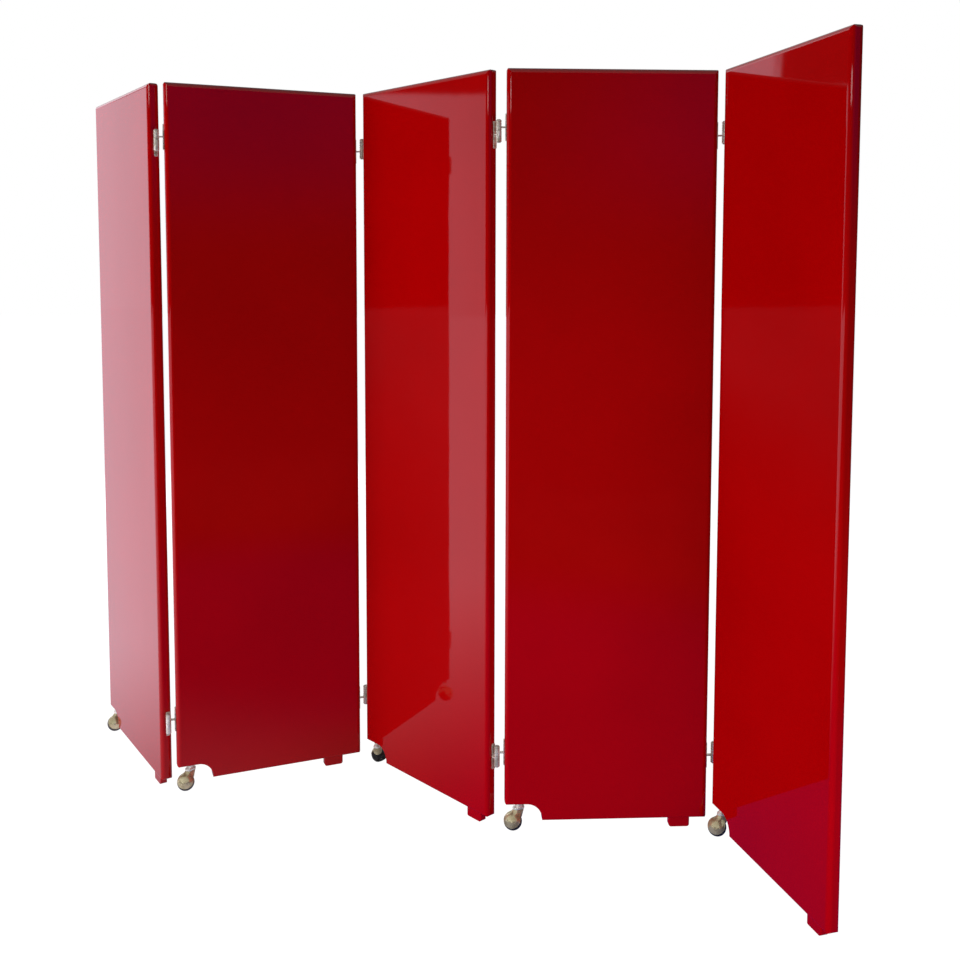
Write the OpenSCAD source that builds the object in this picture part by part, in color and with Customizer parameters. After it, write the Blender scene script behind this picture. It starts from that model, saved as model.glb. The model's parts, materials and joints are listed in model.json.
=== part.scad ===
// Folding room divider: five lacquered panels joined by pin hinges, each on one ball caster and one foot.
// Millimetres, Z up. The origin is the middle of the standing screen's box, on the floor.
// The screen stands half folded in a zigzag. Its front looks towards -Y.

/* [Panels] */
// Width of one panel
panel_w = 500; // [400:10:600]
// Height of one panel, without its foot
panel_h = 1820; // [1500:10:2100]
// Thickness of one panel
panel_t = 30; // [26:1:36]
// Radius of the rounded upright and top edges of a panel
arris_r = 11; // [6:0.5:12]
// Radius of a panel's corners, seen from the front
corner_r = 6; // [3:1:10]
// Radius of the rounded bottom edges of a panel
bottom_r = 4; // [2:0.5:4]

/* [Caster notch] */
// Height of the notch that is cut from a panel's lower left corner
notch_h = 41; // [40:1:56]
// Radius of the cove that ends the notch
cove_r = 37; // [28:1:38]
// Width of the flat roof of the notch
notch_roof_w = 55; // [54:1:70]
// Radius of the rounded edges of the notch
notch_edge_r = 3.5; // [2:0.5:5]

/* [Feet] */
// Height of a foot block, which lifts the panel off the floor
foot_h = 25; // [22:1:30]
// Width of a foot block
foot_w = 52; // [40:1:70]
// Thickness of a foot block
foot_t = 18; // [14:1:18]
// Distances from the left ends of the five panels to the middles of their feet
foot_places = [442, 423, 444, 433, 441];

/* [Hinges] */
// Gap between two panels that stand in line
hinge_gap = 37; // [36:1:44]
// Distance from a panel's end in height to the middle of the nearer hinge plate
hinge_inset = 152; // [120:1:300]
// Height of a hinge plate
plate_h = 64; // [56:1:80]
// Width of a hinge plate
plate_w = 10; // [9:0.5:12]
// Distance of a hinge plate's middle behind the middle of the panel's end
plate_back = 4; // [0:0.5:5]
// Diameter of a hinge barrel
barrel_d = 13.4; // [12:0.2:15]
// Diameter of a hinge pin
hinge_pin_d = 6; // [5:0.5:7]

/* [Casters] */
// Diameter of the caster's ball, hood and wheel together
ball_d = 45; // [42:1:47]
// Distance from a panel's left end to the swivel axis
caster_x = 35; // [34:1:40]
// Distance from the swivel axis to the middle of the ball
caster_offset = 16; // [13:1:17]
// Angle at which the wheel's axle rises towards the dome of the hood
axle_tilt = 40; // [30:1:44]
// Turn in plan from the direction in which the ball is offset to the direction of the axle
axle_turn = 45; // [0:5:60]
// Diameter of the stem that swivels in the panel
stem_d = 8; // [7:0.5:10]

/* [Standing pose] */
// Direction of panel 1 in plan, from its left end to its right end
first_heading = -56.4; // [-90:0.1:0]
// Turn from panel 1 to panel 2, seen from above
fold_1_2 = 78.7; // [0:0.1:98]
// Turn from panel 2 to panel 3
fold_2_3 = -69.7; // [-98:0.1:0]
// Turn from panel 3 to panel 4
fold_3_4 = 50.0; // [0:0.1:98]
// Turn from panel 4 to panel 5
fold_4_5 = -76.5; // [-98:0.1:0]
// Directions in plan in which the balls of the five casters are offset from their swivel axes
ball_headings = [-105, -126, 76, -152, -160];

/* [Hidden] */
$fn = 48;
HULL_FN = 32;

// Angles and places of the panels in plan
folds = [fold_1_2, fold_2_3, fold_3_4, fold_4_5];
function heading(k) = k == 1 ? first_heading : heading(k - 1) + folds[k - 2];
function along(a) = [cos(a), sin(a)];
function raw_left(k) = k == 1 ? [0, 0] : raw_pin(k - 1) + hinge_gap / 2 * along(heading(k));
function raw_pin(k) = raw_left(k) + (panel_w + hinge_gap / 2) * along(heading(k));
function raw_at(k, x, y) = raw_left(k) + x * along(heading(k)) + y * along(heading(k) + 90);

// The box of the screen in plan, from the round arrises and the balls
corner_x = [arris_r, panel_w - arris_r];
corner_y = [arris_r - panel_t / 2, panel_t / 2 - arris_r];
arris_points = [for (k = [1:5], x = corner_x, y = corner_y) raw_at(k, x, y)];
ball_points = [for (k = [1:5]) raw_at(k, caster_x, 0) + caster_offset * along(ball_headings[k - 1])];
function low(i) = min(min([for (p = arris_points) p[i] - arris_r]), min([for (p = ball_points) p[i] - ball_d / 2]));
function high(i) = max(max([for (p = arris_points) p[i] + arris_r]), max([for (p = ball_points) p[i] + ball_d / 2]));
origin = [(low(0) + high(0)) / 2, (low(1) + high(1)) / 2];

// Panel details
overlap = 1;
notch_corner_r = 3;
notch_w = notch_roof_w + cove_r;
cove_foot = notch_h - cove_r;
foot_corner_r = 7;
foot_edge_r = 3;

// Screws of the feet
foot_screw_spacing = 30;
foot_screw_r = 2.5;
foot_screw_head_r = 4.5;
foot_screw_head_h = 3;
foot_screw_recess = 12;
foot_screw_l = 45;
screw_clearance = 0.1;

// Hinge details, heights counted from the joint between the lower and the upper barrel
plate_t = 2.5;
plate_corner_r = 2;
arm_t = 4;
arm_w = 8;
arm_back = plate_back / 2;
arm_offset = 8;
lower_barrel_h = 26;
ring_h = 4.5;
ring_groove = 2;
ring_count = 4;
ring_depth = 0.8;
upper_barrel_h = ring_count * ring_h + (ring_count - 1) * ring_groove;
barrel_gap = 0.6;
pin_clearance = 0.05;
pin_cap_r = 4.6;
pin_cap_h = 1.6;
pin_cap_gap = 0.3;
hinge_heights = [foot_h + hinge_inset + arm_offset, foot_h + panel_h - hinge_inset + arm_offset];

// Screws of the hinge plates
screw_heights = [-24, -12, 12, 24];
screw_r = 2;
screw_head_r = 3.8;
screw_head_h = 2;
screw_l = 24;

// Caster details
ball_r = ball_d / 2;
caster_h = foot_h + notch_h;
socket_r = 6;
socket_l = 40;
flange_r = 9.5;
flange_t = 2;
stem_l = 36;
swivel_gap = 0.5;
neck_top_r = 8;
neck_bar_l = 29;
neck_bar_w = 17;
neck_bar_z = 50.5;
neck_band_h = 6;
neck_band_step = 0.8;
hood_t = 1.8;
rim_gap = 0.8;
split_z = 8;
shoulder_w = 32;
axle_r = 2.5;
axle_clearance = 0.05;
axle_start_z = -15;
axle_end_z = 18;
axle_end_gap = 0.5;
boss_r = 5;
boss_z = 12;
boss_gap = 0.5;
wheel_face_z = -16;
dish_outer_r = 13;
dish_inner_r = 5;
dish_depth = 6;
spoke_count = 8;
spoke_t = 1.8;

BRASS = [0.72, 0.62, 0.40];
NICKEL = [0.80, 0.76, 0.68];
LACQUER = [0.62, 0.0, 0.05];

// Frame of panel k: X from its left end to its right end, Y away from the viewer, Z up from the floor
module at_panel(k) {
    place = raw_left(k) - origin;
    translate([place[0], place[1], 0]) rotate([0, 0, heading(k)]) children();
}

// Frame of caster k: Z on the swivel axis, X towards the middle of its ball
module at_caster(k) {
    at_panel(k) translate([caster_x, 0, 0]) rotate([0, 0, ball_headings[k - 1] - heading(k)]) children();
}

// Frame of the ball of a caster, from the caster's frame: the axle lies on Z, the dome is on +Z
module at_ball() {
    translate([caster_offset, 0, ball_r]) rotate([0, 90 - axle_tilt, axle_turn]) children();
}

// A rectangle with round corners, its lower left corner at the origin
module rounded_rectangle(w, h, r) {
    translate([r, 0]) square([w - 2 * r, h]);
    translate([0, r]) square([w, h - 2 * r]);
    for (x = [r, w - r], y = [r, h - r]) translate([x, y]) circle(r);
}

// The two ends of a panel that carry hinge plates: 1 on the right, -1 on the left
function plate_sides(k) = [for (side = [-1, 1]) if ((side == 1 && k < 5) || (side == -1 && k > 1)) side];
function plate_middle(side) = side == 1 ? -arm_offset : arm_offset;

module notch_outline() {
    translate([-overlap, -overlap]) square([notch_roof_w + overlap, notch_h + overlap]);
    translate([notch_roof_w, cove_foot]) circle(cove_r);
    translate([notch_roof_w, -overlap]) square([cove_r, cove_foot + overlap]);
}

// Small quarter rounds at the two outer corners of the notch
module notch_corner_cuts() {
    translate([0, notch_h]) difference() {
        translate([-overlap, -overlap]) square(corner_r + overlap);
        translate([corner_r, corner_r]) circle(corner_r);
    }
    translate([notch_w, 0]) difference() {
        translate([-overlap, -overlap]) square(notch_corner_r + overlap);
        translate([notch_corner_r, notch_corner_r]) circle(notch_corner_r);
    }
}

// A panel seen from its end: well rounded at the top, less so at the bottom
module end_outline() {
    intersection() {
        rounded_rectangle(panel_t, panel_h, bottom_r);
        translate([0, -panel_h]) rounded_rectangle(panel_t, 2 * panel_h, arris_r);
    }
}

// Section of what a rounded edge takes away: X into the wood from the notch, Y towards the back face
module edge_section() {
    translate([0, panel_t / 2]) difference() {
        translate([-overlap, -notch_edge_r]) square(notch_edge_r + overlap);
        translate([notch_edge_r, -notch_edge_r]) circle(notch_edge_r);
    }
}

// Rounds the notch's edge along the back face: roof, cove and the short upright below it
module notch_edge_cuts() {
    translate([notch_roof_w, 0, caster_h]) rotate([0, -90, 0]) linear_extrude(notch_roof_w + overlap) edge_section();
    translate([notch_roof_w, 0, foot_h + cove_foot]) intersection() {
        rotate([-90, 0, 0]) rotate_extrude() translate([cove_r, 0]) edge_section();
        cube([2 * cove_r, panel_t, 2 * cove_r]);
    }
    translate([notch_w, 0, foot_h - overlap]) linear_extrude(cove_foot + overlap) edge_section();
}

module panel_blank() {
    intersection() {
        translate([0, panel_t / 2, foot_h]) rotate([90, 0, 0]) linear_extrude(panel_t) difference() {
            rounded_rectangle(panel_w, panel_h, corner_r);
            notch_outline();
            notch_corner_cuts();
        }
        translate([0, -panel_t / 2, foot_h - overlap]) linear_extrude(panel_h + 2 * overlap)
            rounded_rectangle(panel_w, panel_t, arris_r);
        translate([-overlap, -panel_t / 2, foot_h]) rotate([90, 0, 90]) linear_extrude(panel_w + 2 * overlap)
            end_outline();
    }
}

// The panel has a hole for the caster's socket and pilot holes for the screws of its foot and hinges
module panel(k) {
    color(LACQUER) at_panel(k) difference() {
        panel_blank();
        for (side = [0, 1]) mirror([0, side, 0]) notch_edge_cuts();
        translate([caster_x, 0, caster_h - overlap]) cylinder(r = socket_r, h = socket_l + overlap);
        each_foot_screw(k) cylinder(r = foot_screw_r + screw_clearance, h = foot_screw_recess + foot_screw_l + 1);
        for (side = plate_sides(k)) each_screw(side) cylinder(r = screw_r + screw_clearance, h = screw_l + 1);
    }
}

// Places its children at every screw of the plates on one end, with Z pointing into the panel from the plate's face
module each_screw(side) {
    for (z = hinge_heights, dz = screw_heights)
        translate([side == 1 ? panel_w + plate_t : -plate_t, plate_back, z + plate_middle(side) + dz])
            rotate([0, -90 * side, 0]) children();
}

// Places its children on the floor under the two screws of a foot
module each_foot_screw(k) {
    for (x = [-1, 1] * foot_screw_spacing / 2) translate([foot_places[k - 1] + x, 0, 0]) children();
}

// Foot block with rounded lower corners and softened upright edges
module foot(k) {
    color(LACQUER) at_panel(k) difference() {
        translate([foot_places[k - 1] - foot_w / 2, 0, 0]) intersection() {
            translate([0, foot_t / 2, 0]) rotate([90, 0, 0]) linear_extrude(foot_t)
                rounded_rectangle(foot_w, foot_h + 2 * foot_corner_r, foot_corner_r);
            translate([0, -foot_t / 2, 0]) linear_extrude(foot_h) rounded_rectangle(foot_w, foot_t, foot_edge_r);
        }
        each_foot_screw(k) translate([0, 0, -overlap]) {
            cylinder(r = foot_screw_r + screw_clearance, h = foot_h + 2 * overlap);
            cylinder(r = foot_screw_head_r + screw_clearance, h = foot_screw_recess + overlap);
        }
    }
}

// Two round-headed screws that hold a foot from below
module foot_screws(k) {
    color(NICKEL) at_panel(k) each_foot_screw(k) translate([0, 0, foot_screw_recess]) {
        translate([0, 0, -foot_screw_head_h]) cylinder(r = foot_screw_head_r, h = foot_screw_head_h);
        translate([0, 0, -overlap]) cylinder(r = foot_screw_r, h = foot_screw_l + overlap);
    }
}

// Plate with an arm that reaches to the pin, as it sits on a panel's right end
module leaf_plate() {
    difference() {
        union() {
            translate([0, plate_back - plate_w / 2, -plate_h / 2]) rotate([90, 0, 90]) linear_extrude(plate_t)
                rounded_rectangle(plate_w, plate_h, plate_corner_r);
            translate([plate_t - overlap, arm_back - arm_w / 2, -arm_t / 2])
                cube([hinge_gap / 2 - plate_t + overlap, arm_w, arm_t]);
        }
        for (dz = screw_heights) translate([plate_t, plate_back, dz]) rotate([0, -90, 0]) {
            translate([0, 0, -overlap]) cylinder(r = screw_r + screw_clearance, h = plate_t + 2 * overlap);
            translate([0, 0, -overlap]) cylinder(r1 = screw_head_r + screw_clearance + overlap, r2 = screw_r + screw_clearance,
                h = screw_head_h + overlap);
        }
    }
}

module smooth_barrel() {
    translate([0, 0, -barrel_gap / 2 - lower_barrel_h]) cylinder(d = barrel_d, h = lower_barrel_h);
}

module ringed_barrel() {
    translate([0, 0, barrel_gap / 2]) {
        cylinder(r = barrel_d / 2 - ring_depth, h = upper_barrel_h);
        for (i = [0:ring_count - 1]) translate([0, 0, i * (ring_h + ring_groove)]) cylinder(d = barrel_d, h = ring_h);
    }
}

module barrel_bore() {
    translate([0, 0, -lower_barrel_h - 2 * overlap]) cylinder(r = hinge_pin_d / 2 + pin_clearance,
        h = lower_barrel_h + upper_barrel_h + 4 * overlap);
}

// The leaves on the right end of panel k carry the smooth lower barrels
module left_leaves(k) {
    color(BRASS) at_panel(k) for (z = hinge_heights) difference() {
        union() {
            translate([panel_w, 0, z - arm_offset]) leaf_plate();
            translate([panel_w + hinge_gap / 2, 0, z]) smooth_barrel();
        }
        translate([panel_w + hinge_gap / 2, 0, z]) barrel_bore();
    }
}

// The leaves on the left end of panel k carry the ringed upper barrels
module right_leaves(k) {
    color(BRASS) at_panel(k) for (z = hinge_heights) difference() {
        union() {
            translate([0, 0, z + arm_offset]) mirror([1, 0, 0]) leaf_plate();
            translate([-hinge_gap / 2, 0, z]) ringed_barrel();
        }
        translate([-hinge_gap / 2, 0, z]) barrel_bore();
    }
}

// Pins with a flat cap at each end, on the right of panel k
module hinge_pins(k) {
    bottom = -barrel_gap / 2 - lower_barrel_h;
    top = barrel_gap / 2 + upper_barrel_h;
    color(NICKEL) at_panel(k) for (z = hinge_heights) translate([panel_w + hinge_gap / 2, 0, z]) {
        translate([0, 0, bottom - pin_cap_gap]) cylinder(d = hinge_pin_d, h = top - bottom + 2 * pin_cap_gap);
        translate([0, 0, bottom - pin_cap_gap - pin_cap_h]) cylinder(r = pin_cap_r, h = pin_cap_h);
        translate([0, 0, top + pin_cap_gap]) cylinder(r = pin_cap_r, h = pin_cap_h);
    }
}

// Countersunk screws of all the plates on panel k
module hinge_screws(k) {
    color(NICKEL) at_panel(k) for (side = plate_sides(k)) each_screw(side) {
        cylinder(r1 = screw_head_r, r2 = screw_r, h = screw_head_h);
        cylinder(r = screw_r, h = screw_l);
    }
}

// Steel sleeve with a flange, pressed into the roof of the notch
module caster_socket(k) {
    color(NICKEL) at_panel(k) translate([caster_x, 0, 0]) difference() {
        union() {
            translate([0, 0, caster_h - flange_t]) cylinder(r = flange_r, h = flange_t);
            translate([0, 0, caster_h - overlap]) cylinder(r = socket_r, h = socket_l + overlap);
        }
        translate([0, 0, caster_h - flange_t - overlap]) cylinder(r = stem_d / 2 + pin_clearance, h = flange_t + stem_l + 3);
    }
}

// The flat-sided bar on which the neck stands
module neck_bar(l, w, h) {
    for (x = [-1, 1] * (l - w) / 2) translate([x, 0, 0]) cylinder(d = w, h = h, $fn = HULL_FN);
}

// Stem and neck: a round stem on a neck that spreads lengthwise towards the ball
module caster_stem(k) {
    top = caster_h - flange_t - swivel_gap;
    color(NICKEL) at_caster(k) {
        translate([0, 0, top - overlap]) cylinder(d = stem_d, h = stem_l + overlap);
        hull() {
            translate([0, 0, top - overlap]) cylinder(r = neck_top_r, h = overlap, $fn = HULL_FN);
            translate([0, 0, neck_bar_z + neck_band_h]) neck_bar(neck_bar_l, neck_bar_w, overlap);
        }
        hull() translate([0, 0, neck_bar_z])
            neck_bar(neck_bar_l + 2 * neck_band_step, neck_bar_w + 2 * neck_band_step, neck_band_h);
    }
}

// Hood: a dome on the axle, about a third of the ball, with a shoulder that rises to the neck
module caster_hood(k) {
    color(BRASS) at_caster(k) difference() {
        union() {
            at_ball() difference() {
                sphere(ball_r);
                translate([0, 0, split_z - ball_r]) cube(2 * ball_r, center = true);
            }
            hull() {
                translate([0, 0, neck_bar_z - overlap]) neck_bar(neck_bar_l, neck_bar_w, overlap);
                translate([caster_offset, 0, ball_r]) neck_bar(2 * ball_r - 2, shoulder_w, overlap);
            }
        }
        at_ball() {
            difference() {
                sphere(ball_r - hood_t);
                translate([0, 0, boss_z]) cylinder(r = boss_r, h = ball_r);
            }
            difference() {
                sphere(ball_r + rim_gap);
                translate([0, 0, split_z + ball_r + rim_gap]) cube(2 * (ball_r + rim_gap), center = true);
            }
            translate([0, 0, -ball_r]) cylinder(r = axle_r + axle_clearance, h = ball_r + axle_end_z + axle_end_gap);
        }
    }
}

module caster_axle(k) {
    color(NICKEL) at_caster(k) at_ball() translate([0, 0, axle_start_z])
        cylinder(r = axle_r, h = axle_end_z - axle_start_z);
}

// Wheel: the rest of the ball, black, with a dished face and spokes
module caster_wheel(k) {
    color([0.06, 0.06, 0.06]) at_caster(k) at_ball() difference() {
        union() {
            intersection() {
                sphere(ball_r);
                translate([0, 0, wheel_face_z]) cylinder(r = ball_r + overlap, h = split_z - rim_gap - wheel_face_z);
            }
            translate([0, 0, split_z - rim_gap - overlap]) cylinder(r = boss_r, h = boss_z - boss_gap - split_z + rim_gap + overlap);
        }
        translate([0, 0, wheel_face_z - overlap]) difference() {
            cylinder(r = dish_outer_r, h = dish_depth + overlap);
            translate([0, 0, -overlap]) cylinder(r = dish_inner_r, h = dish_depth + 3 * overlap);
            for (i = [0:spoke_count - 1]) rotate([0, 0, i * 360 / spoke_count]) translate([0, -spoke_t / 2, overlap + 1])
                cube([dish_outer_r + overlap, spoke_t, dish_depth]);
        }
        translate([0, 0, wheel_face_z - overlap]) cylinder(r = axle_r + axle_clearance, h = ball_r + boss_z);
    }
}

panel(1);  // panel_1
panel(2);  // panel_2
panel(3);  // panel_3
panel(4);  // panel_4
panel(5);  // panel_5
foot(1);  // foot_1
foot(2);  // foot_2
foot(3);  // foot_3
foot(4);  // foot_4
foot(5);  // foot_5
foot_screws(1);  // foot_1_screws
foot_screws(2);  // foot_2_screws
foot_screws(3);  // foot_3_screws
foot_screws(4);  // foot_4_screws
foot_screws(5);  // foot_5_screws
left_leaves(1);  // hinge_1_2_left_leaves
left_leaves(2);  // hinge_2_3_left_leaves
left_leaves(3);  // hinge_3_4_left_leaves
left_leaves(4);  // hinge_4_5_left_leaves
right_leaves(2);  // hinge_1_2_right_leaves
right_leaves(3);  // hinge_2_3_right_leaves
right_leaves(4);  // hinge_3_4_right_leaves
right_leaves(5);  // hinge_4_5_right_leaves
hinge_pins(1);  // hinge_1_2_pins
hinge_pins(2);  // hinge_2_3_pins
hinge_pins(3);  // hinge_3_4_pins
hinge_pins(4);  // hinge_4_5_pins
hinge_screws(1);  // panel_1_hinge_screws
hinge_screws(2);  // panel_2_hinge_screws
hinge_screws(3);  // panel_3_hinge_screws
hinge_screws(4);  // panel_4_hinge_screws
hinge_screws(5);  // panel_5_hinge_screws
caster_socket(1);  // caster_1_socket
caster_socket(2);  // caster_2_socket
caster_socket(3);  // caster_3_socket
caster_socket(4);  // caster_4_socket
caster_socket(5);  // caster_5_socket
caster_stem(1);  // caster_1_stem
caster_stem(2);  // caster_2_stem
caster_stem(3);  // caster_3_stem
caster_stem(4);  // caster_4_stem
caster_stem(5);  // caster_5_stem
caster_hood(1);  // caster_1_hood
caster_hood(2);  // caster_2_hood
caster_hood(3);  // caster_3_hood
caster_hood(4);  // caster_4_hood
caster_hood(5);  // caster_5_hood
caster_axle(1);  // caster_1_axle
caster_axle(2);  // caster_2_axle
caster_axle(3);  // caster_3_axle
caster_axle(4);  // caster_4_axle
caster_axle(5);  // caster_5_axle
caster_wheel(1);  // caster_1_wheel
caster_wheel(2);  // caster_2_wheel
caster_wheel(3);  // caster_3_wheel
caster_wheel(4);  // caster_4_wheel
caster_wheel(5);  // caster_5_wheel
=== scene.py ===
"""Looks of the folding room divider: camera, studio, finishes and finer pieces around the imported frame."""
import json
import math

import bmesh
import bpy
import numpy as np
from mathutils import Matrix, Vector


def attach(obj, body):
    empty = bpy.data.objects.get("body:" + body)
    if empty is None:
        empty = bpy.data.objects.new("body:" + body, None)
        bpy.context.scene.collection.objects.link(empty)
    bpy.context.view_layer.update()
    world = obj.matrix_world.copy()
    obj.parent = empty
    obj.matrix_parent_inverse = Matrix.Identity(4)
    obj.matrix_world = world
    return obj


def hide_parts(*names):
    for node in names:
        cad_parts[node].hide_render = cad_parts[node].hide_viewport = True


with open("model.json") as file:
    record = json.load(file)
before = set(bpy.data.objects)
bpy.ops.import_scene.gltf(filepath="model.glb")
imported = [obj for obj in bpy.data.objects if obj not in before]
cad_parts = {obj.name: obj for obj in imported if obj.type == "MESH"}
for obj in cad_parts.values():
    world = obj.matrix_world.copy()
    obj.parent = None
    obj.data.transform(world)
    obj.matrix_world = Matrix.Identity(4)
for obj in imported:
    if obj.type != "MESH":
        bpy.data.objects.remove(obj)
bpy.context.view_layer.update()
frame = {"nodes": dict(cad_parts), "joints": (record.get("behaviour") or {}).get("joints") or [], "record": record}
nodes = frame["nodes"]
joints = {joint["name"]: joint for joint in frame["joints"]}
mounts = {mount["name"]: mount for mount in frame["record"]["mounts"]}
MM = 0.001

# Camera, in metres and degrees, found by fitting the five panels' outlines
EYE = (0.1885, -2.7032, 1.3733)
PITCH = -4.4379
ROLL = 0.0839
FOCAL_PX = 1103.9
CENTRE_ROW = 356.15
PICTURE_PX = 960
SENSOR_MM = 36

# Studio, as the gloss sees it: bright behind on the left, dim in front. The haze only tints the second panel.
BRIGHT_AZIMUTH = 150
BRIGHT_SPREAD = (0.72, 0.97)
BRIGHT_LEVEL = 1.58
BRIGHT_COLOUR = (0.88, 0.80, 0.93)
DIM_COLOUR = (0.006, 0.010, 0.10)
FAR_COLOUR = (0.02, 0.018, 0.02)
BRIGHT_TOP = 8.9
DIM_LEVEL = 0.03
STRIP_AZIMUTH = -112
STRIP_HALF_WIDTH = 10
STRIP_HEIGHTS = (8.1, 9.7)
STRIP_LEVEL = 5
CEILING_EDGE = 14
CEILING_LEVEL = 0.6
HAZE_AZIMUTH = -55
HAZE_SPREAD = (0.86, 0.97)
HAZE_HEIGHTS = (4, 15)
HAZE_COLOUR = (0.10, 0.0, 0.55)
HAZE_LEVEL = 0.4
EDGE_AZIMUTH = 137
AMBIENT = 0.1
FLOOR_SIZE = 60
FLOOR_SIDE = (-0.3, 2.0)
FLOOR_FAR = (1.6, 2.8)
FLOOR_GLOW = 0.985

# Lamps: azimuth, height, distance from the middle of the screen, width, height of the soft box, power
LAMPS = {
    "key": (-160, 1.0, 8.0, 3.0, 2.0, 285),
    "high_left": (-170, 2.8, 3.5, 1.4, 2.0, 30),
    "low_left": (-125, 0.25, 2.2, 1.6, 0.4, 21),
    "low_right": (-60, 0.25, 2.2, 1.6, 0.4, 15),
    "back_left": (110, 1.6, 5.0, 3.0, 2.0, 130),
    "back_right": (30, 1.6, 5.0, 2.0, 2.0, 60),
}

# Sizes of the finer pieces in millimetres, as in the solids
PANEL_W = 500
SWIVEL_X = 35
HINGE_HEIGHTS = (185, 1701)
HALF_GAP = 18.5
PLATE = (2.5, 10, 64)
PLATE_BACK = 4
ARM = (4, 8)
ARM_OFFSET = 8
BARREL_R = 6.7
BORE_R = 3.05
LOWER_BARREL = (-26.3, -0.3)
UPPER_BARREL = (0.3, 24.3)
SCREW_STEPS = (-24, -12, 12, 24)
BALL_R = 22.5
BALL_OFFSET = 16
AXLE_TILT = 40
AXLE_TURN = 45
SPLIT = 8
BOSS_FACE = 12
HOOD_WALL = 1.8
RIM_GAP = 0.8
NECK_FOOT = 50.5
NECK_BAND = 6
NECK_TOP = 63.5
NECK_HALF = 6


def direction(azimuth, elevation=0):
    """Unit vector for an azimuth counted from +X and an elevation, in degrees."""
    a, e = math.radians(azimuth), math.radians(elevation)
    return Vector((math.cos(a) * math.cos(e), math.sin(a) * math.cos(e), math.sin(e)))


def add_camera():
    """The photograph's viewpoint, level apart from a small pitch and roll."""
    pitch, roll = math.radians(PITCH), math.radians(ROLL)
    ahead = Vector((0, math.cos(pitch), math.sin(pitch)))
    level = Vector((1, 0, 0))
    above = level.cross(ahead)
    right = math.cos(roll) * level + math.sin(roll) * above
    up = math.cos(roll) * above - math.sin(roll) * level
    lens = bpy.data.cameras.new("camera")
    lens.sensor_width = SENSOR_MM
    lens.lens = SENSOR_MM * FOCAL_PX / PICTURE_PX
    lens.shift_y = (CENTRE_ROW - PICTURE_PX / 2) / PICTURE_PX
    lens.clip_end = 200
    camera = bpy.data.objects.new("camera", lens)
    axes = Matrix((right, up, -ahead)).transposed().to_4x4()
    camera.matrix_world = Matrix.Translation(EYE) @ axes
    bpy.context.collection.objects.link(camera)
    bpy.context.scene.camera = camera


class Shader:
    """A node tree with short calls to add nodes and link them."""

    def __init__(self, owner):
        owner.use_nodes = True
        self.tree = owner.node_tree
        self.tree.nodes.clear()

    def node(self, kind, settings=None, **inputs):
        """Adds a node. Inputs are values or output sockets, keyed by socket name with underscores."""
        made = self.tree.nodes.new("ShaderNode" + kind)
        for key, value in (settings or {}).items():
            setattr(made, key, value)
        for key, value in inputs.items():
            self.put(made.inputs[key.replace("_", " ")], value)
        return made

    def put(self, socket, value):
        if isinstance(value, bpy.types.NodeSocket):
            self.tree.links.new(value, socket)
        else:
            socket.default_value = value

    def math(self, operation, *values, clamp=False):
        made = self.tree.nodes.new("ShaderNodeMath")
        made.operation = operation
        made.use_clamp = clamp
        for socket, value in zip(made.inputs, values):
            self.put(socket, value)
        return made.outputs[0]

    def dot(self, vector, axis):
        made = self.tree.nodes.new("ShaderNodeVectorMath")
        made.operation = "DOT_PRODUCT"
        self.put(made.inputs[0], vector)
        self.put(made.inputs[1], axis)
        return made.outputs["Value"]

    def smooth(self, value, low, high, to_low, to_high):
        """A soft step from to_low to to_high while value goes from low to high."""
        return self.node("MapRange", {"interpolation_type": "SMOOTHSTEP"}, Value=value, From_Min=low,
                         From_Max=high, To_Min=to_low, To_Max=to_high).outputs["Result"]

    def noise(self, scale, detail=2.0, stretch=(1, 1, 1), seed=(0, 0, 0)):
        """A noise pattern fixed to the piece, scale in cells per metre."""
        place = self.node("TexCoord").outputs["Object"]
        spread = self.node("Mapping", Vector=place, Scale=stretch, Location=seed).outputs["Vector"]
        return self.node("TexNoise", Vector=spread, Scale=scale, Detail=detail).outputs["Fac"]

    def ramp(self, value, stops):
        """Colour or grey steps: stops are (position, colour)."""
        made = self.node("ValToRGB", Fac=value)
        points = made.color_ramp.elements
        while len(points) < len(stops):
            points.new(0.5)
        for point, (position, colour) in zip(points, stops):
            point.position = position
            point.color = (*colour, 1) if len(colour) == 3 else colour
        return made.outputs["Color"]


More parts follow.
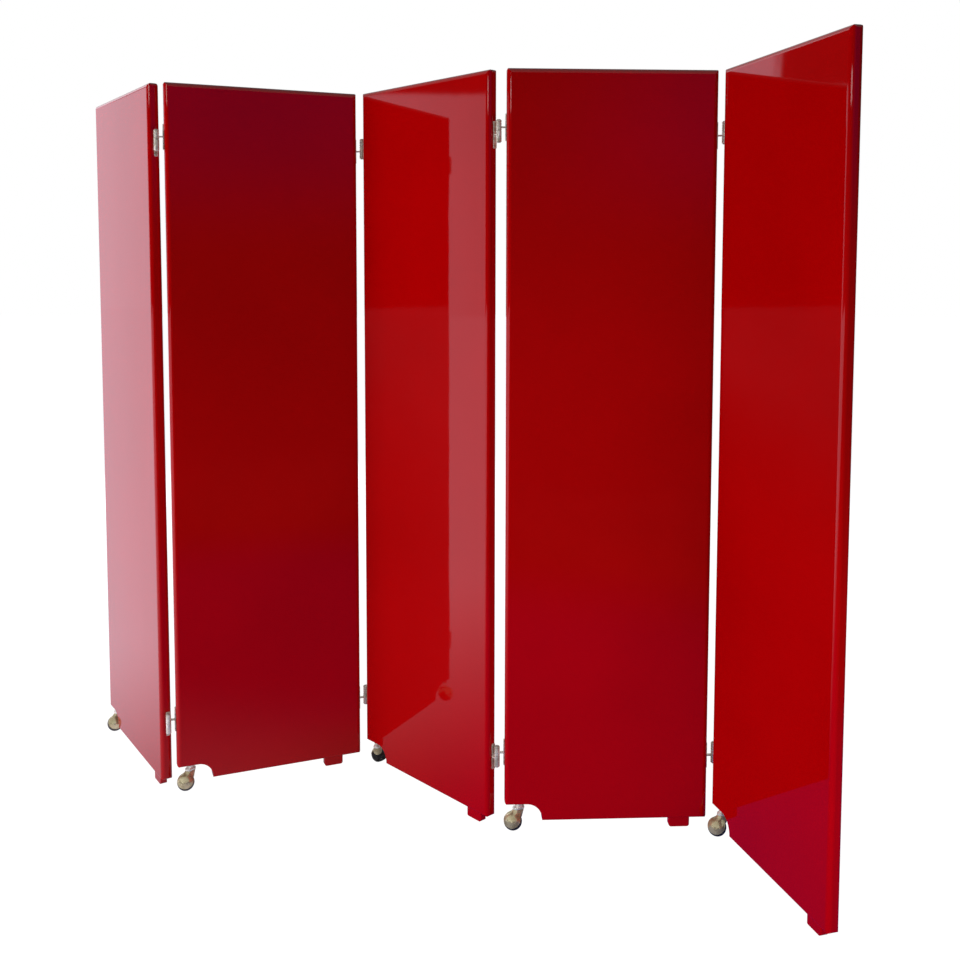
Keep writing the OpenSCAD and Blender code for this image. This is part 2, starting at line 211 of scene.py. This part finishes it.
def add_world():
    """White for the camera; for the gloss, a backdrop that is bright behind on the left and dim in front."""
    world = bpy.data.worlds.new("studio")
    bpy.context.scene.world = world
    s = Shader(world)
    path = s.node("LightPath")
    toward = s.node("TexCoord").outputs["Generated"]
    height = s.dot(toward, (0, 0, 1))

    def rise(degrees, width, low=0.0, high=1.0):
        """A soft step over height at an elevation."""
        edge = math.sin(math.radians(degrees))
        return s.smooth(height, edge - width, edge + width, low, high)

    side = s.smooth(s.dot(toward, direction(BRIGHT_AZIMUTH)), *BRIGHT_SPREAD, 0, BRIGHT_LEVEL)
    left_of = s.smooth(s.dot(toward, direction(EDGE_AZIMUTH + 90)), -0.004, 0.004, 0, 1)
    covered = s.math("MULTIPLY", left_of, rise(BRIGHT_TOP, 0.002))
    backdrop = s.math("MULTIPLY", side, s.math("SUBTRACT", 1.0, covered))
    reach = math.cos(math.radians(STRIP_HALF_WIDTH))
    strip = s.smooth(s.dot(toward, direction(STRIP_AZIMUTH, 9)), reach - 0.004, reach + 0.004, 0, STRIP_LEVEL)
    strip = s.math("MULTIPLY", strip, rise(STRIP_HEIGHTS[0], 0.003))
    strip = s.math("MULTIPLY", strip, rise(STRIP_HEIGHTS[1], 0.003, 1.0, 0.0))
    above = s.math("ADD", strip, rise(CEILING_EDGE, 0.03, DIM_LEVEL, CEILING_LEVEL))
    lit = s.node("Background", Color=(*BRIGHT_COLOUR, 1), Strength=backdrop)
    lamps = s.node("Background", Color=(1, 1, 1, 1), Strength=above)
    haze = s.smooth(s.dot(toward, direction(HAZE_AZIMUTH)), *HAZE_SPREAD, 0, HAZE_LEVEL)
    haze = s.math("MULTIPLY", haze, rise(HAZE_HEIGHTS[0], 0.07))
    haze = s.math("MULTIPLY", haze, rise(HAZE_HEIGHTS[1], 0.03, 1.0, 0.0))
    tint = s.node("Background", Color=(*HAZE_COLOUR, 1), Strength=haze)
    in_front = s.node("AddShader")
    s.put(in_front.inputs[0], lamps.outputs[0])
    s.put(in_front.inputs[1], tint.outputs[0])
    in_gloss = s.node("AddShader")
    s.put(in_gloss.inputs[0], lit.outputs[0])
    s.put(in_gloss.inputs[1], in_front.outputs[0])
    seen = s.math("MAXIMUM", path.outputs["Is Camera Ray"], path.outputs["Is Transmission Ray"])
    level = s.node("Mix", {"data_type": "FLOAT"}, Factor=seen, A=AMBIENT, B=1.0)
    plain = s.node("Background", Color=(1, 1, 1, 1), Strength=level.outputs["Result"])
    sky = s.node("MixShader", Fac=path.outputs["Is Glossy Ray"])
    s.put(sky.inputs[1], plain.outputs[0])
    s.put(sky.inputs[2], in_gloss.outputs[0])
    s.node("OutputWorld", Surface=sky.outputs[0])


def add_floor():
    """White floor for the camera; in the gloss it is bright on the left and dim in front."""
    half = FLOOR_SIZE / 2
    mesh = bpy.data.meshes.new("floor")
    corners = [(-half, -half, 0), (half, -half, 0), (half, half, 0), (-half, half, 0)]
    mesh.from_pydata(corners, [], [(0, 1, 2, 3)])
    floor = bpy.data.objects.new("floor", mesh)
    bpy.context.collection.objects.link(floor)
    material = bpy.data.materials.new("floor_white")
    mesh.materials.append(material)
    s = Shader(material)
    path = s.node("LightPath")
    place = s.node("NewGeometry").outputs["Position"]
    side = s.smooth(s.dot(place, direction(BRIGHT_AZIMUTH)), *FLOOR_SIDE, 0, 1)
    far = s.node("VectorMath", {"operation": "LENGTH"}, Vector=place).outputs["Value"]
    behind = s.smooth(s.dot(place, (0, 1, 0)), -0.1, 0.3, 0, 1)
    away = s.math("MAXIMUM", behind, s.smooth(far, *FLOOR_FAR, 0, 1))
    near_colour = s.ramp(away, [(0, DIM_COLOUR), (1, FAR_COLOUR)])
    colour = s.node("Mix", {"data_type": "RGBA"})
    s.put(colour.inputs["Factor"], side)
    s.put(colour.inputs[6], near_colour)
    s.put(colour.inputs[7], (*BRIGHT_COLOUR, 1))
    in_gloss = s.node("Emission", Color=colour.outputs[2], Strength=BRIGHT_LEVEL)
    paper = s.node("BsdfDiffuse", Color=(0.5, 0.5, 0.5, 1))
    faint = s.node("BsdfDiffuse", Color=(0.2, 0.2, 0.2, 1))
    glow = s.node("Emission", Strength=FLOOR_GLOW)
    shown = s.node("AddShader")
    s.put(shown.inputs[0], faint.outputs[0])
    s.put(shown.inputs[1], glow.outputs[0])
    seen = s.math("MAXIMUM", path.outputs["Is Camera Ray"], path.outputs["Is Transmission Ray"])
    first = s.node("MixShader", Fac=path.outputs["Is Glossy Ray"])
    s.put(first.inputs[1], paper.outputs[0])
    s.put(first.inputs[2], in_gloss.outputs[0])
    second = s.node("MixShader", Fac=seen)
    s.put(second.inputs[1], first.outputs[0])
    s.put(second.inputs[2], shown.outputs[0])
    s.node("OutputMaterial", Surface=second.outputs[0])


def add_lamps():
    """Soft boxes that look at the middle of the screen."""
    middle = Vector((0, 0, 0.95))
    for name, (azimuth, height, distance, wide, high, power) in LAMPS.items():
        lamp = bpy.data.lights.new(name, "AREA")
        lamp.shape = "RECTANGLE"
        lamp.size = wide
        lamp.size_y = high
        lamp.energy = power
        holder = bpy.data.objects.new(name, lamp)
        holder.location = distance * direction(azimuth) + Vector((0, 0, height))
        holder.rotation_euler = (holder.location - middle).to_track_quat("Z", "Y").to_euler()
        holder.visible_camera = False
        holder.visible_glossy = False
        bpy.context.collection.objects.link(holder)


def lacquer():
    """Deep red gloss lacquer under a clear coat, with faint waves and a little dust."""
    material = bpy.data.materials.new("finish_lacquer")
    s = Shader(material)
    cloud = s.noise(2.2, 3)
    colour = s.ramp(cloud, [(0.3, (0.34, 0.0, 0.0004)), (0.7, (0.39, 0.0002, 0.0008))])
    wave = s.noise(7, 2, stretch=(1, 1, 0.35))
    dust = s.noise(260, 2)
    height = s.math("ADD", wave, s.math("MULTIPLY", dust, 0.004))
    bump = s.node("Bump", Strength=0.12, Distance=0.002, Height=height)
    depth = s.smooth(s.noise(18, 4), 0.35, 0.75, 0.5, 0.7)
    body = s.node("BsdfPrincipled", Base_Color=colour, Roughness=depth, Specular_IOR_Level=0.0,
                  Coat_Weight=1.0, Coat_Roughness=0.03, Coat_IOR=1.4)
    s.put(body.inputs["Coat Normal"], bump.outputs["Normal"])
    s.node("OutputMaterial", Surface=body.outputs["BSDF"])
    return material


def metal(name, dark, light, rough_low, rough_high, tarnish, scale=60):
    """Aged metal: two tones in patches, the darker ones rougher, under a film of tarnish."""
    material = bpy.data.materials.new("finish_" + name)
    s = Shader(material)
    patch = s.noise(scale, 4)
    colour = s.ramp(patch, [(0.35, dark), (0.65, light)])
    rough = s.smooth(patch, 0.3, 0.7, rough_high, rough_low)
    marks = s.node("Bump", Strength=0.15, Distance=0.0004, Height=s.noise(scale * 8, 3))
    body = s.node("BsdfPrincipled", Base_Color=colour, Metallic=1 - tarnish, Roughness=rough)
    s.put(body.inputs["Normal"], marks.outputs["Normal"])
    s.node("OutputMaterial", Surface=body.outputs["BSDF"])
    return material


def rubber():
    """Black roller with dust in its surface."""
    material = bpy.data.materials.new("finish_wheel_black")
    s = Shader(material)
    dust = s.noise(150, 4)
    colour = s.ramp(dust, [(0.4, (0.006, 0.006, 0.007)), (0.8, (0.03, 0.028, 0.026))])
    rough = s.smooth(dust, 0.3, 0.8, 0.3, 0.55)
    grain = s.node("Bump", Strength=0.1, Distance=0.0003, Height=s.noise(900, 2))
    body = s.node("BsdfPrincipled", Base_Color=colour, Roughness=rough)
    s.put(body.inputs["Normal"], grain.outputs["Normal"])
    s.node("OutputMaterial", Surface=body.outputs["BSDF"])
    return material


def finish_nodes():
    """Gives every CAD node the finish of its kind."""
    red = lacquer()
    hinge = metal("hinge_brass", (0.58, 0.53, 0.42), (0.95, 0.92, 0.84), 0.2, 0.4, 0.4)
    brass_screw = metal("screw_brass", (0.45, 0.38, 0.27), (0.74, 0.66, 0.50), 0.25, 0.45, 0.4)
    steel = metal("screw_steel", (0.45, 0.43, 0.40), (0.70, 0.68, 0.64), 0.25, 0.45, 0.4)
    neck = metal("neck_metal", (0.86, 0.84, 0.78), (0.97, 0.96, 0.93), 0.15, 0.35, 0.5)
    hood = metal("hood_brass", (0.46, 0.40, 0.23), (0.74, 0.67, 0.44), 0.12, 0.3, 0.4)
    black = rubber()
    finishes = {"panel": red, "foot": red, "hinge": hinge, "plate_screws": brass_screw, "screws": steel,
                "pins": steel, "socket": steel, "axle": steel, "stem": neck, "hood": hood, "wheel": black}
    for name, node in nodes.items():
        last = name.split("_")[-1]
        kind = last if last in finishes else name.split("_")[0]
        if name.endswith("hinge_screws"):
            kind = "plate_screws"
        for slot in node.material_slots:
            slot.material = finishes[kind]
    return finishes


def rounded(points, radius, steps=4):
    """A closed outline whose corners are replaced by arcs. Points may carry a radius of their own."""
    out = []
    count = len(points)
    for i, point in enumerate(points):
        corner = np.array(point[:2], float)
        r = point[2] if len(point) > 2 else radius
        before = np.array(points[i - 1][:2], float) - corner
        after = np.array(points[(i + 1) % count][:2], float) - corner
        lengths = np.linalg.norm(before), np.linalg.norm(after)
        before /= lengths[0]
        after /= lengths[1]
        half = math.acos(max(-1, min(1, float(before @ after)))) / 2
        if r <= 0 or half > 1.5:
            out.append(tuple(corner))
            continue
        reach = min(r / math.tan(half), 0.45 * min(lengths))
        r = reach * math.tan(half)
        centre = corner + (before + after) / np.linalg.norm(before + after) * r / math.sin(half)
        start = corner + before * reach - centre
        end = corner + after * reach - centre
        for step in range(steps + 1):
            turn = step / steps
            spoke = start * (1 - turn) + end * turn
            out.append(tuple(centre + spoke / np.linalg.norm(spoke) * r))
    return out


class Build:
    """Collects mesh parts in millimetres and makes one piece of them."""

    def __init__(self):
        self.mesh = bmesh.new()

    def faces(self, points, faces, place=Matrix.Identity(4)):
        verts = [self.mesh.verts.new(place @ Vector(point)) for point in points]
        for face in faces:
            self.mesh.faces.new([verts[i] for i in face])

    def rings(self, rings, place=Matrix.Identity(4), caps=True, closed=False):
        """Skins a row of rings of points, with end caps or joined last to first."""
        count = len(rings[0])
        points = [point for ring in rings for point in ring]
        faces = []
        last = len(rings) if closed else len(rings) - 1
        for j in range(last):
            a, b = j * count, (j + 1) % len(rings) * count
            for i in range(count):
                n = (i + 1) % count
                faces.append((a + i, a + n, b + n, b + i))
        if caps and not closed:
            faces.append(tuple(reversed(range(count))))
            faces.append(tuple(range((len(rings) - 1) * count, len(rings) * count)))
        self.faces(points, faces, place)

    def lathe(self, outline, place=Matrix.Identity(4), segments=48, closed=True):
        """Turns an outline of (radius, height) points round Z. An open outline gets flat ends."""
        spokes = [2 * math.pi * i / segments for i in range(segments)]
        rings = [[(r * math.cos(a), r * math.sin(a), z) for a in spokes] for r, z in outline]
        self.rings(rings, place, closed=closed)

    def slab(self, outline, low, high, edge, place=Matrix.Identity(4)):
        """A plate from a flat outline in X and Y, from low to high in Z, with its edges rounded."""
        flat = np.array(outline, float)
        middle = flat.mean(axis=0)
        reach = np.abs(flat - middle).max(axis=0)
        rings = []
        for turn in (0, 30, 60, 90):
            t = math.radians(turn)
            shrink = 1 - edge * (1 - math.sin(t)) / reach
            ring = middle + (flat - middle) * shrink
            rings.append([(x, y, low + edge * (1 - math.cos(t))) for x, y in ring])
        for turn in (90, 60, 30, 0):
            t = math.radians(turn)
            shrink = 1 - edge * (1 - math.sin(t)) / reach
            ring = middle + (flat - middle) * shrink
            rings.append([(x, y, high - edge * (1 - math.cos(t))) for x, y in ring])
        self.rings(rings, place)

    def cut(self, cutter):
        """Takes the cutter's volume away from what has been built so far."""
        pair = []
        for mesh in (self.mesh, cutter.mesh):
            bmesh.ops.recalc_face_normals(mesh, faces=mesh.faces)
            data = bpy.data.meshes.new("part")
            mesh.to_mesh(data)
            pair.append(bpy.data.objects.new("part", data))
            bpy.context.collection.objects.link(pair[-1])
        knife = pair[0].modifiers.new("cut", "BOOLEAN")
        knife.operation = "DIFFERENCE"
        knife.object = pair[1]
        shaped = pair[0].evaluated_get(bpy.context.evaluated_depsgraph_get())
        self.mesh.clear()
        self.mesh.from_mesh(shaped.to_mesh())
        for part in pair:
            bpy.data.objects.remove(part)

    def piece(self, name, place, body, finish, *replaced):
        """Makes the object, in metres at its place, and hides the CAD nodes that it stands for."""
        bmesh.ops.remove_doubles(self.mesh, verts=self.mesh.verts, dist=1e-4)
        bmesh.ops.recalc_face_normals(self.mesh, faces=self.mesh.faces)
        data = bpy.data.meshes.new(name)
        self.mesh.to_mesh(data)
        data.transform(place @ Matrix.Scale(MM, 4))
        data.shade_smooth()
        data.set_sharp_from_angle(angle=math.radians(38))
        data.materials.append(finish)
        made = bpy.data.objects.new(name, data)
        bpy.context.collection.objects.link(made)
        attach(made, body)
        if replaced:
            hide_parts(*replaced)
        return made


def axes(origin, x_axis, z_axis=(0, 0, 1)):
    """Placing matrix of a local frame, in metres."""
    x = Vector(x_axis).normalized()
    z = Vector(z_axis).normalized()
    y = z.cross(x)
    turned = Matrix((x, y, z)).transposed().to_4x4()
    return Matrix.Translation(Vector(origin)) @ turned


def panel_place(k):
    """Frame of panel k: X from its left end to its right end, origin at the left end on the floor."""
    swivel = Vector(joints[f"caster_{k}_swivel"]["pos_m"])
    foot = Vector(mounts[f"foot_{k}_sole"]["pos_m"])
    along = (foot - swivel).xy.normalized().to_3d()
    start = swivel.xy.to_3d() - along * SWIVEL_X * MM
    return axes(start, along)


def caster_place(k):
    """Frame of caster k: Z on the swivel axis from the floor, X towards the middle of its ball."""
    swivel = Vector(joints[f"caster_{k}_swivel"]["pos_m"])
    centre = Vector(joints[f"caster_{k}_spin"]["pos_m"])
    return axes(swivel.xy.to_3d(), (centre - swivel).xy.to_3d())


def ball_place(k):
    """Frame of the ball of caster k: Z on the axle, the dome on +Z."""
    centre = Vector((BALL_OFFSET, 0, BALL_R)) * MM
    turn = Matrix.Rotation(math.radians(AXLE_TURN), 4, "Z")
    lean = Matrix.Rotation(math.radians(90 - AXLE_TILT), 4, "Y")
    return caster_place(k) @ Matrix.Translation(centre) @ (turn @ lean)


def stadium(half_length, radius, z, count=48):
    """A ring of points round a bar with round ends, at a height."""
    ring = []
    for i in range(count):
        a = 2 * math.pi * (i + 0.5) / count
        side = half_length if math.cos(a) > 0 else -half_length
        ring.append((side + radius * math.cos(a), radius * math.sin(a), z))
    return ring


def loft_distance(p, low, high):
    """Rough distance to a bar that changes evenly from low to high, each (z, middle, half length, radius)."""
    t = np.clip((p[..., 2] - low[0]) / (high[0] - low[0]), 0, 1)
    middle, half, radius = (low[i] + t * (high[i] - low[i]) for i in (1, 2, 3))
    across = np.hypot(np.maximum(np.abs(p[..., 0] - middle) - half, 0), p[..., 1]) - radius
    upright = np.maximum(low[0] - p[..., 2], p[..., 2] - high[0])
    return np.maximum(across * 0.9, upright)


def soft_max(a, b, blend):
    """The larger of two distances, with the corner between them rounded."""
    h = np.clip(0.5 + 0.5 * (a - b) / blend, 0, 1)
    return b + (a - b) * h + blend * h * (1 - h)


def soft_min(a, b, blend):
    return -soft_max(-a, -b, blend)


def hood_distance(p):
    """The hood in the caster's frame: dome and shoulder, hollow for the roller."""
    centre = np.array((BALL_OFFSET, 0, BALL_R))
    tilt = math.radians(AXLE_TILT)
    turn = math.radians(AXLE_TURN)
    axle = np.array((math.cos(tilt) * math.cos(turn), math.cos(tilt) * math.sin(turn), math.sin(tilt)))
    from_centre = p - centre
    along = from_centre @ axle
    off_axle = np.linalg.norm(from_centre - along[..., None] * axle, axis=-1)
    radius = np.linalg.norm(from_centre, axis=-1)
    dome = soft_max(radius - BALL_R, SPLIT - along, 0.8)
    rim = np.hypot(off_axle - (BALL_R - 2.2), along - SPLIT - 1.2) - 1.0
    shoulder = loft_distance(p, (BALL_R + 1, BALL_OFFSET, 5, 15.6), (NECK_FOOT, 0, NECK_HALF, 8.3))
    outside = soft_min(soft_min(dome, rim, 0.8), shoulder, 3.5)
    boss = np.maximum(off_axle - 5, BOSS_FACE - along)
    cavity = soft_max(radius - (BALL_R - HOOD_WALL), -boss, 1.0)
    roller_room = soft_max(radius - (BALL_R + RIM_GAP), along - SPLIT, 0.5)
    return soft_max(soft_max(outside, -cavity, 0.6), -roller_room, 0.6)


def skin(distance, low, high, step):
    """Points and faces of the surface where the distance is zero, one point for each cell that it crosses."""
    lines = [np.arange(a, b + step, step) for a, b in zip(low, high)]
    grid = np.stack(np.meshgrid(*lines, indexing="ij"), axis=-1)
    value = distance(grid)
    size = np.array(value.shape) - 1
    corners = [(i, j, k) for i in (0, 1) for j in (0, 1) for k in (0, 1)]
    edges = [(a, b) for a in corners for b in corners
             if sum(b) - sum(a) == 1 and all(x <= y for x, y in zip(a, b))]

    def corner(data, c):
        return data[tuple(slice(c[i], c[i] + size[i]) for i in range(3))]

    total = np.zeros((*size, 3))
    hits = np.zeros(size)
    for a, b in edges:
        va, vb = corner(value, a), corner(value, b)
        crossed = (va < 0) != (vb < 0)
        t = np.where(crossed, va / np.where(crossed, va - vb, 1), 0)[..., None]
        place = corner(grid, a) * (1 - t) + corner(grid, b) * t
        total += place * crossed[..., None]
        hits += crossed
    used = hits > 0
    number = np.full(size, -1)
    number[used] = np.arange(used.sum())
    points = total[used] / hits[used][:, None]
    faces = []
    inside = value < 0
    for axis in range(3):
        u, v = (axis + 1) % 3, (axis + 2) % 3
        first = [slice(None)] * 3
        second = [slice(None)] * 3
        first[axis] = slice(0, -1)
        second[axis] = slice(1, None)
        change = inside[tuple(first)].astype(int) - inside[tuple(second)]
        cells = np.argwhere(change != 0)
        cells = cells[(cells[:, u] > 0) & (cells[:, u] < size[u])]
        cells = cells[(cells[:, v] > 0) & (cells[:, v] < size[v])]
        step_u, step_v = np.eye(3, dtype=int)[u], np.eye(3, dtype=int)[v]
        quad = [number[tuple((cells - du * step_u - dv * step_v).T)]
                for du, dv in ((1, 1), (0, 1), (0, 0), (1, 0))]
        sign = change[tuple(cells.T)]
        quad = np.stack(quad, axis=1)
        quad[sign < 0] = quad[sign < 0][:, ::-1]
        faces += quad.tolist()
    small = step * 0.05
    for _ in range(4):
        slope = np.stack([(distance(points + small * e) - distance(points - small * e)) / (2 * small)
                          for e in np.eye(3)], axis=-1)
        length = np.maximum((slope ** 2).sum(axis=-1), 0.2)
        move = -(distance(points) / length)[:, None] * slope
        points = points + np.clip(move, -0.3 * step, 0.3 * step)
    return points.tolist(), faces


def add_hoods(finish):
    """Cast hoods, whose dome flows into the shoulder under the neck."""
    points, faces = skin(hood_distance, (-20, -27, -3), (42, 27, 54), 0.9)
    for k in range(1, 6):
        hood = Build()
        hood.faces(points, faces)
        hood.piece(f"caster_{k}_hood_shell", caster_place(k), f"caster_{k}_fork", finish, f"caster_{k}_hood")


def add_necks(finish):
    """Neck with a bright rounded band, under a round stem that runs up into the socket."""
    band = NECK_FOOT + NECK_BAND
    for k in range(1, 6):
        neck = Build()
        rings = [stadium(NECK_HALF, 8.0, NECK_FOOT)]
        for turn in range(0, 181, 20):
            a = math.radians(turn)
            rings.append(stadium(NECK_HALF, 8.3 + math.sin(a), NECK_FOOT + NECK_BAND / 2 * (1 - math.cos(a))))
        for t in (0.0, 0.15, 0.35, 0.6, 0.8, 0.95, 1.0):
            waist = 8.3 - 0.5 * t - 0.9 * math.sin(math.pi * t)
            rings.append(stadium(NECK_HALF * (1 - t), waist, band + (NECK_TOP - 0.6 - band) * t))
        rings.append(stadium(0, 7.2, NECK_TOP))
        rings.append(stadium(0, 4.4, NECK_TOP))
        rings.append(stadium(0, 4.0, NECK_TOP + 0.6))
        rings.append(stadium(0, 4.0, NECK_TOP + 35))
        rings.append(stadium(0, 3.2, NECK_TOP + 36))
        neck.rings(rings)
        neck.piece(f"caster_{k}_neck", caster_place(k), f"caster_{k}_fork", finish, f"caster_{k}_stem")


def add_rollers(finish):
    """Black rollers: rounded tread with two fine grooves, a dished face with spokes and a hub."""
    face = -16
    inner_face = SPLIT - RIM_GAP
    boss = BOSS_FACE - 0.6
    tread = []
    for i in range(25):
        z = inner_face - 0.4 + (face + 1.6 - inner_face) * i / 24
        groove = 0.35 if i in (7, 14) else 0
        tread.append((math.sqrt(BALL_R ** 2 - z ** 2) - groove, z, 0))
    inner = [(13.4, face, 0.5), (12.4, face + 6, 1.0), (6.0, face + 6, 1.0), (5.0, face - 0.2, 0.8),
             (2.6, face - 0.2, 0.3), (2.6, boss, 0), (5, boss, 0.4), (5, inner_face, 0.5),
             (20.2, inner_face, 0)]
    outline = rounded(tread + [(15.2, face, 1.2)] + inner, 0, 4)
    for k in range(1, 6):
        roller = Build()
        roller.lathe(outline, segments=56)
        for i in range(8):
            spoke = rounded([(5.2, -0.9), (13.1, -0.9), (13.1, 0.9), (5.2, 0.9)], 0.3, 2)
            roller.slab(spoke, face + 0.8, face + 6.5, 0.4, Matrix.Rotation(math.radians(45 * i), 4, "Z"))
        roller.piece(f"caster_{k}_roller_body", ball_place(k), f"caster_{k}_roller", finish,
                     f"caster_{k}_wheel")


def rectangle(wide, high):
    """Corners of a rectangle round the origin."""
    return [(-wide / 2, -high / 2), (wide / 2, -high / 2), (wide / 2, high / 2), (-wide / 2, high / 2)]


def leaf(barrel, upward):
    """One hinge leaf in the frame of its pin: plate on -X, arm, barrel. The plate lies up (1) or down (-1)."""
    made = Build()
    thick, wide, high = PLATE
    middle = upward * ARM_OFFSET
    back = -upward * PLATE_BACK
    plate = rounded(rectangle(wide, high), 2, 4)
    stand = Matrix(((0, 0, 1, -HALF_GAP), (1, 0, 0, back), (0, 1, 0, middle), (0, 0, 0, 1)))
    made.slab(plate, 0, thick, 0.6, stand)
    sinks = Build()
    for step in SCREW_STEPS:
        sinks.lathe([(2.1, -1), (2.1, thick - 2), (4.1, thick), (4.1, thick + 1)],
                    stand @ Matrix.Translation((0, step, 0)), segments=32, closed=False)
    made.cut(sinks)
    tall, deep = ARM
    arm = rounded(rectangle(deep, tall), 1.2, 3)
    made.slab(arm, thick - 1, HALF_GAP - BORE_R - 0.8, 0.1, Matrix.Translation((0, -back / 2, 0)) @ stand)
    made.lathe(barrel)
    return made


def barrel_outlines():
    """Outlines of the smooth lower barrel and of the ringed upper barrel."""
    low, high = LOWER_BARREL
    smooth = rounded([(BORE_R, low, 0), (BARREL_R, low, 0.9), (BARREL_R, high, 0.5), (BORE_R, high, 0)], 0, 4)
    low, high = UPPER_BARREL
    ringed = [(BORE_R, low, 0)]
    for i in range(4):
        start = low + 6.5 * i
        ringed += [(BARREL_R, start, 0.8), (BARREL_R, start + 4.5, 0.8)]
        if i < 3:
            ringed += [(BARREL_R - 0.8, start + 4.9, 0.4), (BARREL_R - 0.8, start + 6.1, 0.4)]
    ringed.append((BORE_R, high, 0))
    return smooth, rounded(ringed, 0, 3)


def add_hinges(finish, screw_finish):
    """Leaves and pins of the four pairs of hinges."""
    smooth, ringed = barrel_outlines()
    low, high = LOWER_BARREL[0], UPPER_BARREL[1]
    pin_outline = rounded([(2, low - 2, 0), (4.6, low - 1.9, 0.7), (4.6, low - 0.3, 0.3), (3, low - 0.3, 0),
                           (3, high + 0.3, 0), (4.6, high + 0.3, 0.3), (4.6, high + 1.9, 0.7),
                           (2, high + 2, 0)], 0, 4)
    for k in range(1, 5):
        pair = f"{k}_{k + 1}"
        for z, word in zip(HINGE_HEIGHTS, ("low", "top")):
            on_floor = Vector(joints[f"fold_{pair}"]["pos_m"]).xy.to_3d()
            pin = Matrix.Translation(on_floor + Vector((0, 0, z * MM)))
            left = pin @ panel_place(k).to_3x3().to_4x4()
            right = pin @ (panel_place(k + 1).to_3x3() @ Matrix.Rotation(math.pi, 3, "Z")).to_4x4()
            leaf(smooth, -1).piece(f"hinge_{pair}_left_leaf_{word}", left, f"leaf_{k}", finish,
                                   f"hinge_{pair}_left_leaves")
            leaf(ringed, 1).piece(f"hinge_{pair}_right_leaf_{word}", right, f"leaf_{k + 1}", finish,
                                  f"hinge_{pair}_right_leaves")
            rod = Build()
            rod.lathe(pin_outline, segments=32, closed=False)
            rod.piece(f"hinge_{pair}_pin_{word}", left, f"leaf_{k}", screw_finish, f"hinge_{pair}_pins")


def slotted_head(made, place, radius, depth):
    """A countersunk head with a slot: the top lies on the local XY plane, the shank goes to +Z."""
    for side in (-1, 1):
        half = []
        edge = math.acos(0.45 / radius)
        for step in range(13):
            a = side * (math.pi / 2 - edge) + side * step * 2 * edge / 12
            half.append((radius * math.cos(a), radius * math.sin(a)))
        rings = [[(x, y, 0.15) for x, y in half], [(x * 0.97, y * 0.97, 0) for x, y in half]]
        rings.reverse()
        rings.append([(x * 0.55, y * 0.55 + side * 0.2, depth) for x, y in half])
        made.rings(rings, place)
    floor = [(radius * 0.8 * math.cos(math.pi * i / 12), radius * 0.8 * math.sin(math.pi * i / 12), 0.9)
             for i in range(24)]
    made.faces(floor, [tuple(range(24))], place)


def add_hinge_screws(finish):
    """Slotted screws in the hinge plates, each slot turned its own way."""
    for k in range(1, 6):
        made = Build()
        sides = [side for side, there in ((-1, k > 1), (1, k < 5)) if there]
        for side in sides:
            x = PANEL_W + PLATE[0] if side == 1 else -PLATE[0]
            for z in HINGE_HEIGHTS:
                for i, step in enumerate(SCREW_STEPS):
                    spot = Vector((x - side * 0.05, PLATE_BACK, z - side * ARM_OFFSET + step))
                    turn = Matrix.Rotation(math.radians(-90 * side), 4, "Y")
                    slot = Matrix.Rotation(math.radians(37 * i + 71 * k + 50 * side), 4, "Z")
                    place = Matrix.Translation(spot) @ turn @ slot
                    slotted_head(made, place, 3.75, 2.0)
                    made.lathe([(2, 1.6), (2, 22), (0.6, 24)], place, segments=12, closed=False)
        made.piece(f"panel_{k}_plate_screws", panel_place(k), f"leaf_{k}", finish, f"panel_{k}_hinge_screws")


add_camera()
add_world()
add_floor()
add_lamps()
finishes = finish_nodes()
add_hoods(finishes["hood"])
add_necks(finishes["stem"])
add_rollers(finishes["wheel"])
add_hinges(finishes["hinge"], finishes["pins"])
add_hinge_screws(finishes["plate_screws"])

view = bpy.context.scene.view_settings
view.view_transform = "Standard"
